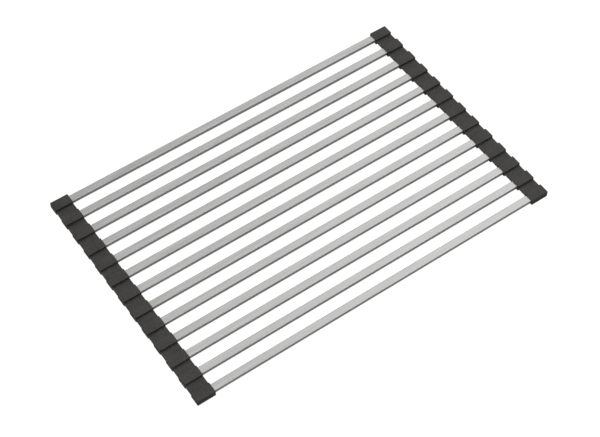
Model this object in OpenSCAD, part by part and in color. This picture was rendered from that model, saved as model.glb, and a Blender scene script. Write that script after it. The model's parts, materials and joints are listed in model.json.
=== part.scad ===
// Roll-up drying rack: flat steel tubes whose ends are pressed into two flexible end strips.
// Each strip is a row of blocks, one block per tube, joined by thin webs that bend as hinges.
// X runs along the tubes, Y runs across them and Z is up.
// The origin is under the middle of the rack, on the surface that the blocks rest on.

/* [Rack] */
// Number of tubes
bar_count = 13; // [5:1:15]
// Distance between the centre lines of neighbouring tubes
bar_spacing = 25; // [18:0.5:40]
// Length of bare tube between the two end strips
bare_length = 430.8; // [250:0.1:600]

/* [Tube] */
// Width of a tube, across the rack
tube_w = 9.2; // [6:0.1:12]
// Height of a tube
tube_h = 5; // [3:0.1:6]
// Thickness of the tube's steel
tube_wall = 0.5; // [0.3:0.05:0.9]
// Outer corner radius of the tube's section
tube_corner = 0.7; // [0.2:0.1:1.3]

/* [End strip] */
// Depth of the blind socket that holds a tube's end
socket_depth = 19; // [10:0.5:30]
// Thickness of the block beyond the end of the socket
end_wall = 3.8; // [1.5:0.1:8]
// Thickness of the block on each side of the tube
side_wall = 2; // [1.2:0.1:3.5]
// Thickness of the block above the tube, and below it
cover = 1.7; // [1:0.1:4]
// Corner radius of a block, seen from above
block_corner = 0.6; // [0.3:0.1:2]
// Radius along a block's top and bottom edges
block_edge = 0.4; // [0.2:0.1:0.9]
// Thickness of the web between two blocks
web_thick = 1.6; // [0.8:0.1:3]

/* [Fit] */
// Gap between a tube and the walls of its socket
socket_gap = 0.05; // [0.01:0.01:0.2]
// Gap between a tube's end and the bottom of its socket
end_gap = 0.3; // [0.1:0.1:1]

/* [Hidden] */
strip_w = socket_depth + end_wall;
block_w = tube_w + 2 * side_wall;
block_h = tube_h + 2 * cover;
strip_x = (bare_length + strip_w) / 2;
mid_z = block_h / 2;
tube_length = bare_length + 2 * (socket_depth - end_gap);
tube_bore_corner = max(tube_corner - tube_wall, 0.1);
socket_corner = tube_corner + socket_gap;
web_length = bar_spacing - block_w;
web_w = strip_w - 2 * block_corner;
steel = "silver";
silicone = "dimgray";

function label(i) = str(i < 10 ? "0" : "", i);
function bar_y(i) = (i - (bar_count + 1) / 2) * bar_spacing;

// Rectangle with its corners rounded by true arcs, centred on the origin
module rounded_rectangle(width, height, radius) {
    square([width - 2 * radius, height], center = true);
    square([width, height - 2 * radius], center = true);
    for (sx = [-1, 1], sy = [-1, 1])
        translate([sx * (width / 2 - radius), sy * (height / 2 - radius)])
            circle(r = radius, $fn = 32);
}

// Bar along X with a rounded section, centred on the origin
module section_bar(length, width, height, radius) {
    rotate([90, 0, 90])
        linear_extrude(length, center = true)
            rounded_rectangle(width, height, radius);
}

// Flat hollow tube, open at both ends inside its sockets
module tube(i) {
    bore_length = tube_length + 2;
    bore_w = tube_w - 2 * tube_wall;
    bore_h = tube_h - 2 * tube_wall;
    color(steel)
        translate([0, bar_y(i), mid_z])
            difference() {
                section_bar(tube_length, tube_w, tube_h, tube_corner);
                section_bar(bore_length, bore_w, bore_h, tube_bore_corner);
            }
}

// Block of an end strip, on the left for side -1 and on the right for side 1
module block(i, side) {
    socket_w = tube_w + 2 * socket_gap;
    socket_h = tube_h + 2 * socket_gap;
    color(silicone)
        translate([side * strip_x, bar_y(i), mid_z])
            difference() {
                intersection() {
                    linear_extrude(block_h, center = true)
                        rounded_rectangle(strip_w, block_w, block_corner);
                    section_bar(strip_w, block_w, block_h, block_edge);
                }
                translate([-side * end_wall, 0, 0])
                    section_bar(strip_w, socket_w, socket_h, socket_corner);
            }
}

// The two webs, one in each strip, that join blocks i and i + 1 at mid-height
module hinge_web(i) {
    color(silicone)
        for (side = [-1, 1])
            translate([side * strip_x, bar_y(i) + bar_spacing / 2, mid_z])
                cube([web_w, web_length, web_thick], center = true);
}

for (i = [1 : bar_count]) {
    tube(i);
    block(i, -1);
    block(i, 1);
}
for (i = [1 : bar_count - 1]) {
    hinge_web(i);
}
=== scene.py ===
import json
import math

import bmesh
import bpy
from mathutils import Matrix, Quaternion, Vector

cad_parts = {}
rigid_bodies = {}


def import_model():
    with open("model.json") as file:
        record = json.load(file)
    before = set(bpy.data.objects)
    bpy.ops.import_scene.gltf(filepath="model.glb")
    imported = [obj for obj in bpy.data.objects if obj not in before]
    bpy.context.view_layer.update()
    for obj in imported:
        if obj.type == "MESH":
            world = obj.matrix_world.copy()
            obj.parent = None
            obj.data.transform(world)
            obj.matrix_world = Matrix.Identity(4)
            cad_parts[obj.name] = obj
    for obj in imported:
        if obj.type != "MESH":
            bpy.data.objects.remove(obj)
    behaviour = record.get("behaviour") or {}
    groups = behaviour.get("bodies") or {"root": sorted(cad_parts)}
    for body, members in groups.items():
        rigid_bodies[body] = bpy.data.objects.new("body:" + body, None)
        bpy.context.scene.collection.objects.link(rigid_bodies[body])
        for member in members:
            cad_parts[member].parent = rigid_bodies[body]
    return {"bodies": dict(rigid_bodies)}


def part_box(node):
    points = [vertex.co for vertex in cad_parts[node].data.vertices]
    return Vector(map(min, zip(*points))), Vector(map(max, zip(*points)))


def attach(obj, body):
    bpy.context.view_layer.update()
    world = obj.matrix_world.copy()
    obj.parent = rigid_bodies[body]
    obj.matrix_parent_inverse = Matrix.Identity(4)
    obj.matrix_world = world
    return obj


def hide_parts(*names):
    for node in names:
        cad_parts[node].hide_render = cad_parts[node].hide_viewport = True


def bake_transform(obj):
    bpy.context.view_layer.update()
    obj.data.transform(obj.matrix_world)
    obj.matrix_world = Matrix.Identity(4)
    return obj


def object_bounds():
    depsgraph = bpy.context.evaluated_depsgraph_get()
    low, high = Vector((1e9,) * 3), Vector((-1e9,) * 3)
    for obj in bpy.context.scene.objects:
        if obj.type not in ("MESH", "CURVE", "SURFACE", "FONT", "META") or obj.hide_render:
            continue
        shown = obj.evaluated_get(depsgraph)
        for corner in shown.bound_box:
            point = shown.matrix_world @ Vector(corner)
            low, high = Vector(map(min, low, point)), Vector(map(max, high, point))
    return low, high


# The rack lies flat, with its tubes along X. Each tube and its two blocks are one body, and the
# bodies are numbered from the near side to the far side.
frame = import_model()
cad_low, cad_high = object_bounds()
labels = [body[-2:] for body in sorted(frame["bodies"]) if body.startswith("bar_")]
tube_low, tube_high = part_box("tube_01")

# ---------------------------------------------------------------------------------------------
# Camera: a long lens, held above the near left corner and tipped down onto the tubes' tops.
view_azimuth = math.radians(34.51)
view_elevation = math.radians(54.61)
view_roll = math.radians(-0.35)
view_distance = 1.7089
aim = Vector((-0.0155, -0.0236, tube_high.z - 0.0004))
back = Vector((
    -math.sin(view_azimuth) * math.cos(view_elevation),
    -math.cos(view_azimuth) * math.cos(view_elevation),
    math.sin(view_elevation),
))
camera = bpy.data.objects.new("camera", bpy.data.cameras.new("camera"))
camera.data.sensor_width = 36
camera.data.lens = 90.38
camera.location = aim + back * view_distance
camera.rotation_mode = "QUATERNION"
camera.rotation_quaternion = (-back).to_track_quat("-Z", "Y") @ Quaternion((0, 0, 1), view_roll)
bpy.context.collection.objects.link(camera)
bpy.context.scene.camera = camera

# ---------------------------------------------------------------------------------------------
# Steel tubes. Thin stainless strip is rolled and seam-welded into a flat hollow section, cut to
# length and brushed along its length. Each end is pushed into a silicone block, dry.
tube_wall = 0.0005
tube_corner = 0.0007
corner_steps = 6
edge_hold = 0.0001
weld_distance = 0.0000001


class Wire:
    """An output in a node tree. Arithmetic on it adds Math nodes, and node() adds any other."""

    def __init__(self, tree, socket=None):
        self.tree = tree
        self.socket = socket

    def node(self, kind, settings, inputs, output=0):
        made = self.tree.nodes.new(kind)
        for name, value in settings.items():
            if name == "stops":
                ramp = made.color_ramp.elements
                while len(ramp) < len(value):
                    ramp.new(1)
                for stop, (place, colour) in zip(ramp, value):
                    stop.position = place
                    stop.color = colour
            else:
                setattr(made, name, value)
        for name, value in inputs.items():
            if isinstance(value, Wire):
                self.tree.links.new(value.socket, made.inputs[name])
            else:
                made.inputs[name].default_value = value
        return Wire(self.tree, made.outputs[output] if made.outputs else None)

    def math(self, operation, first, second):
        return self.node("ShaderNodeMath", {"operation": operation}, {0: first, 1: second})

    def __add__(self, other):
        return self.math("ADD", self, other)

    def __radd__(self, other):
        return self.math("ADD", other, self)

    def __sub__(self, other):
        return self.math("SUBTRACT", self, other)

    def __rsub__(self, other):
        return self.math("SUBTRACT", other, self)

    def __mul__(self, other):
        return self.math("MULTIPLY", self, other)

    def __rmul__(self, other):
        return self.math("MULTIPLY", other, self)


def new_material(name):
    material = bpy.data.materials.new(name)
    material.use_nodes = True
    material.node_tree.nodes.clear()
    return material, Wire(material.node_tree)


def finish_surface(wire, inputs):
    shader = wire.node("ShaderNodeBsdfPrincipled", {}, inputs)
    wire.node("ShaderNodeOutputMaterial", {}, {"Surface": shader})


def stretched_noise(wire, stretch, detail, roughness):
    """Noise around 0.5, with its own number of grains in a metre along X, Y and Z."""
    place = wire.node("ShaderNodeTexCoord", {}, {}, "Object")
    scaled = wire.node("ShaderNodeVectorMath", {"operation": "MULTIPLY"}, {0: place, 1: stretch})
    inputs = {"Vector": scaled, "Scale": 1, "Detail": detail, "Roughness": roughness}
    return wire.node("ShaderNodeTexNoise", {}, inputs)


def raise_contrast(noise, contrast):
    return 0.5 + (noise - 0.5) * contrast


def mix_colours(wire, share, first, second):
    return wire.node("ShaderNodeMix", {"data_type": "RGBA"}, {0: share, 6: first, 7: second}, 2)


def brushed_steel():
    """Steel with hairlines and wider streaks along the tube, and faint blotches from handling."""
    material, wire = new_material("brushed steel")
    hairlines = stretched_noise(wire, (9, 5200, 5200), 3, 0.6)
    streaks = stretched_noise(wire, (26, 950, 950), 3, 0.6)
    handling = stretched_noise(wire, (14, 60, 60), 3, 0.55)
    grain = raise_contrast(hairlines * 0.3 + streaks * 0.5 + handling * 0.2, 3.1)
    dull, bright = (0.54, 0.54, 0.535, 1), (0.80, 0.80, 0.795, 1)
    height = hairlines * 0.6 + streaks * 0.4
    surface = {"Strength": 0.25, "Distance": 0.00004, "Height": height}
    finish_surface(wire, {
        "Base Color": mix_colours(wire, grain, dull, bright),
        "Metallic": 1,
        "Roughness": 0.28 + grain * 0.2,
        "Normal": wire.node("ShaderNodeBump", {}, surface),
    })
    return material


def rounded_outline(width, height, radius):
    """Points round a rectangle with arcs at its corners, and a point close to each arc's ends."""
    points = []
    for corner, (sy, sz) in enumerate(((1, 1), (-1, 1), (-1, -1), (1, -1))):
        centre_y = sy * (width / 2 - radius)
        centre_z = sz * (height / 2 - radius)
        arc = [
            (corner + step / corner_steps) * math.pi / 2 for step in range(corner_steps + 1)
        ]
        ring = [
            (centre_y + radius * math.cos(a), centre_z + radius * math.sin(a)) for a in arc
        ]
        before = (
            ring[0][0] + edge_hold * math.sin(arc[0]),
            ring[0][1] - edge_hold * math.cos(arc[0]),
        )
        after = (
            ring[-1][0] - edge_hold * math.sin(arc[-1]),
            ring[-1][1] + edge_hold * math.cos(arc[-1]),
        )
        points += [before, *ring, after]
    return points


def loft(name, rings, material, caps=False):
    """A closed mesh through rings of points, either joined end to end or with both ends capped."""
    mesh = bmesh.new()
    rows = [[mesh.verts.new(point) for point in ring] for ring in rings]
    pairs = list(zip(rows, rows[1:]))
    if caps:
        mesh.faces.new(reversed(rows[0]))
        mesh.faces.new(rows[-1])
    else:
        pairs.append((rows[-1], rows[0]))
    for row, following in pairs:
        for here in range(len(row)):
            beside = (here + 1) % len(row)
            mesh.faces.new((row[here], row[beside], following[beside], following[here]))
    bmesh.ops.remove_doubles(mesh, verts=mesh.verts, dist=weld_distance)
    bmesh.ops.recalc_face_normals(mesh, faces=mesh.faces)
    data = bpy.data.meshes.new(name)
    mesh.to_mesh(data)
    mesh.free()
    data.polygons.foreach_set("use_smooth", [True] * len(data.polygons))
    data.set_sharp_from_angle(angle=math.radians(40))
    data.materials.append(material)
    piece = bpy.data.objects.new(name, data)
    bpy.context.collection.objects.link(piece)
    return piece


def section_across_x(x, centre, width, height, radius):
    """The outline of a tube or a block at one place along its length."""
    return [
        (x, centre.y + y, centre.z + z) for y, z in rounded_outline(width, height, radius)
    ]


steel = brushed_steel()
for label in labels:
    low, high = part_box(f"tube_{label}")
    centre = (low + high) / 2
    width = high.y - low.y
    height = high.z - low.z
    outside = (width, height, tube_corner)
    inside = (width - 2 * tube_wall, height - 2 * tube_wall, tube_corner - tube_wall)
    rings = [
        section_across_x(low.x, centre, *outside),
        section_across_x(high.x, centre, *outside),
        section_across_x(high.x, centre, *inside),
        section_across_x(low.x, centre, *inside),
    ]
    tube = loft(f"steel_tube_{label}", rings, steel)
    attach(tube, f"bar_{label}")
    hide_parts(f"tube_{label}")

# ---------------------------------------------------------------------------------------------
# Blocks of the two end strips. Each strip is one compression moulding in matt dark silicone, and
# its blocks grip the tubes' ends in blind sockets, whose mouths are slightly rounded.
block_long_edge = 0.0003
block_end_edge = 0.0003
socket_gap = 0.00005
mouth_round = 0.0003
end_wall = 0.0038
round_steps = 5


def moulded_silicone():
    """Dark silicone with the fine texture and mottle of its mould, and a faint bloom over it."""
    material, wire = new_material("moulded silicone")
    texture = stretched_noise(wire, (2600, 2600, 2600), 4, 0.6)
    mottle = stretched_noise(wire, (700, 700, 700), 3, 0.6)
    bloom = stretched_noise(wire, (60, 60, 60), 3, 0.55)
    shade = raise_contrast(texture * 0.25 + mottle * 0.55 + bloom * 0.2, 3.5)
    dark, light = (0.014, 0.0135, 0.0122, 1), (0.0785, 0.0762, 0.0697, 1)
    height = texture * 0.6 + mottle * 0.4
    surface = {"Strength": 0.35, "Distance": 0.00006, "Height": height}
    finish_surface(wire, {
        "Base Color": mix_colours(wire, shade, dark, light),
        "Roughness": 0.42 + shade * 0.2,
        "Specular IOR Level": 0.5,
        "Normal": wire.node("ShaderNodeBump", {}, surface),
    })
    return material


def quarter_round(radius):
    """Pairs along a rounded edge: how far below its face, and how far out from its side."""
    turns = [step / round_steps * math.pi / 2 for step in range(round_steps + 1)]
    return [(radius * (1 - math.cos(turn)), radius * (1 - math.sin(turn))) for turn in turns]


def block_rings(low, high, inward):
    """Rings from the closed outer end, over the block, into the socket and down to its bottom."""
    outer_x = low.x if inward > 0 else high.x
    centre = (low + high) / 2
    length, width, height = high - low
    socket_width = tube_high.y - tube_low.y + 2 * socket_gap
    socket_height = tube_high.z - tube_low.z + 2 * socket_gap
    socket_corner = tube_corner + socket_gap
    rounded = quarter_round(block_end_edge)
    sections = [
        (depth, width - 2 * inset, height - 2 * inset, block_long_edge - inset)
        for depth, inset in rounded
    ]
    sections += [
        (length - depth, width - 2 * inset, height - 2 * inset, block_long_edge - inset)
        for depth, inset in reversed(rounded)
    ]
    sections += [
        (length - depth, socket_width + 2 * flare, socket_height + 2 * flare, socket_corner + flare)
        for depth, flare in quarter_round(mouth_round)
    ]
    sections.append((end_wall, socket_width, socket_height, socket_corner))
    return [
        section_across_x(outer_x + inward * depth, centre, *section) for depth, *section in sections
    ]


silicone = moulded_silicone()
for side, inward in (("left", 1), ("right", -1)):
    for label in labels:
        rings = block_rings(*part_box(f"{side}_block_{label}"), inward)
        block = loft(f"{side}_end_block_{label}", rings, silicone, caps=True)
        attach(block, f"bar_{label}")
        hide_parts(f"{side}_block_{label}")

# ---------------------------------------------------------------------------------------------
# Webs of the strips. The same moulding runs on at mid-height as a thin web between each pair of
# blocks, with a small fillet at both ends. In the real rack these webs are the hinges where the
# silicone bends; here each is built straight.
web_fillet = 0.0002
web_edge = 0.0003
web_side_inset = 0.0001
web_root = 0.0005
bend_rings = 24


def web_rings(centre, width, thickness, near_face, far_face):
    """Rings across the gap, thicker at both ends, where they run a little way into the blocks."""
    start, end = near_face + web_fillet, far_face - web_fillet
    fillet = quarter_round(web_fillet)
    sections = [(near_face - web_root, web_fillet)]
    sections += [(near_face + along, rise) for along, rise in fillet]
    sections += [
        (start + (end - start) * step / bend_rings, 0) for step in range(1, bend_rings)
    ]
    sections += [(far_face - along, rise) for along, rise in reversed(fillet)]
    sections.append((far_face + web_root, web_fillet))
    return [
        [
            (centre.x + across, y, centre.z + up)
            for across, up in rounded_outline(width, thickness + 2 * rise, web_edge)
        ]
        for y, rise in sections
    ]


for label, next_label in zip(labels, labels[1:]):
    web_low, web_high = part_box(f"hinge_web_{label}")
    for side in ("left", "right"):
        near_low, near_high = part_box(f"{side}_block_{label}")
        far_low, far_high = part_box(f"{side}_block_{next_label}")
        centre = (near_low + far_high) / 2
        width = near_high.x - near_low.x - 2 * web_side_inset
        rings = web_rings(centre, width, web_high.z - web_low.z, near_high.y, far_low.y)
        web = loft(f"{side}_strip_web_{label}", rings, silicone, caps=True)
        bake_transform(web)
        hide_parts(f"hinge_web_{label}")

# ---------------------------------------------------------------------------------------------
# Studio, no part of the rack: a sheet under it, which the camera sees as almost white but which
# throws back only part of the light, a round soft light high on each side, and pale walls.
sheet_half = 4
sheet_drop = 0.0002
key_direction = Vector((0.5, 0.08, 0.86)).normalized()
key_levels = ((0.85, 0.0), (0.88, 0.03), (0.915, 0.18), (0.95, 0.8), (1.0, 1.2))
fill_direction = Vector((-0.62, 0.04, 0.78)).normalized()
fill_levels = ((0.84, 0.0), (0.89, 0.3), (0.94, 0.7), (1.0, 0.9))
wall_levels = ((0.0, 0.52), (0.2, 0.48), (0.4, 0.42), (0.6, 0.33), (0.85, 0.12))


def pale_sheet():
    material, wire = new_material("pale sheet")
    seen = wire.node("ShaderNodeLightPath", {}, {}, "Is Camera Ray")
    glow = wire.node("ShaderNodeEmission", {}, {"Color": (1, 1, 1, 1), "Strength": 0.96})
    pale = wire.node("ShaderNodeBsdfDiffuse", {}, {"Color": (0.2, 0.2, 0.2, 1)})
    dull = wire.node("ShaderNodeBsdfDiffuse", {}, {"Color": (0.4, 0.4, 0.4, 1)})
    bright = wire.node("ShaderNodeAddShader", {}, {0: glow, 1: pale})
    shown = wire.node("ShaderNodeMixShader", {}, {0: seen, 1: dull, 2: bright})
    wire.node("ShaderNodeOutputMaterial", {}, {"Surface": shown})
    return material


def grey_light(wire, place, levels):
    stops = [(stop, (level, level, level, 1)) for stop, level in levels]
    return wire.node("ShaderNodeValToRGB", {"stops": stops}, {"Fac": place})


def softbox(wire, direction, centre, levels):
    """A round soft light, far off: its levels run from opposite its centre (0) to the centre (1)."""
    facing = wire.node(
        "ShaderNodeVectorMath", {"operation": "DOT_PRODUCT"}, {0: direction, 1: centre}, "Value"
    )
    return grey_light(wire, facing * 0.5 + 0.5, levels)


def add_lights(wire, first, second):
    return wire.node("ShaderNodeVectorMath", {"operation": "ADD"}, {0: first, 1: second})


corners = ((-1, -1), (1, -1), (1, 1), (-1, 1))
sheet_mesh = bpy.data.meshes.new("sheet")
sheet_mesh.from_pydata(
    [(sheet_half * x, sheet_half * y, cad_low.z - sheet_drop) for x, y in corners], [], [range(4)]
)
sheet_mesh.materials.append(pale_sheet())
sheet = bpy.data.objects.new("sheet", sheet_mesh)
bpy.context.collection.objects.link(sheet)

sky = bpy.data.worlds.new("sky")
sky.use_nodes = True
sky.node_tree.nodes.clear()
wire = Wire(sky.node_tree)
direction = wire.node("ShaderNodeTexCoord", {}, {}, "Generated")
key = softbox(wire, direction, key_direction, key_levels)
fill = softbox(wire, direction, fill_direction, fill_levels)
upward = wire.node("ShaderNodeSeparateXYZ", {}, {"Vector": direction}, "Z")
walls = grey_light(wire, upward, wall_levels)
light = add_lights(wire, add_lights(wire, key, fill), walls)
seen = wire.node("ShaderNodeLightPath", {}, {}, "Is Camera Ray")
backdrop = mix_colours(wire, seen, light, (0.97, 0.97, 0.97, 1))
background = wire.node("ShaderNodeBackground", {}, {"Color": backdrop, "Strength": 1})
wire.node("ShaderNodeOutputWorld", {}, {"Surface": background})
bpy.context.scene.world = sky
bpy.context.scene.view_settings.view_transform = "Standard"
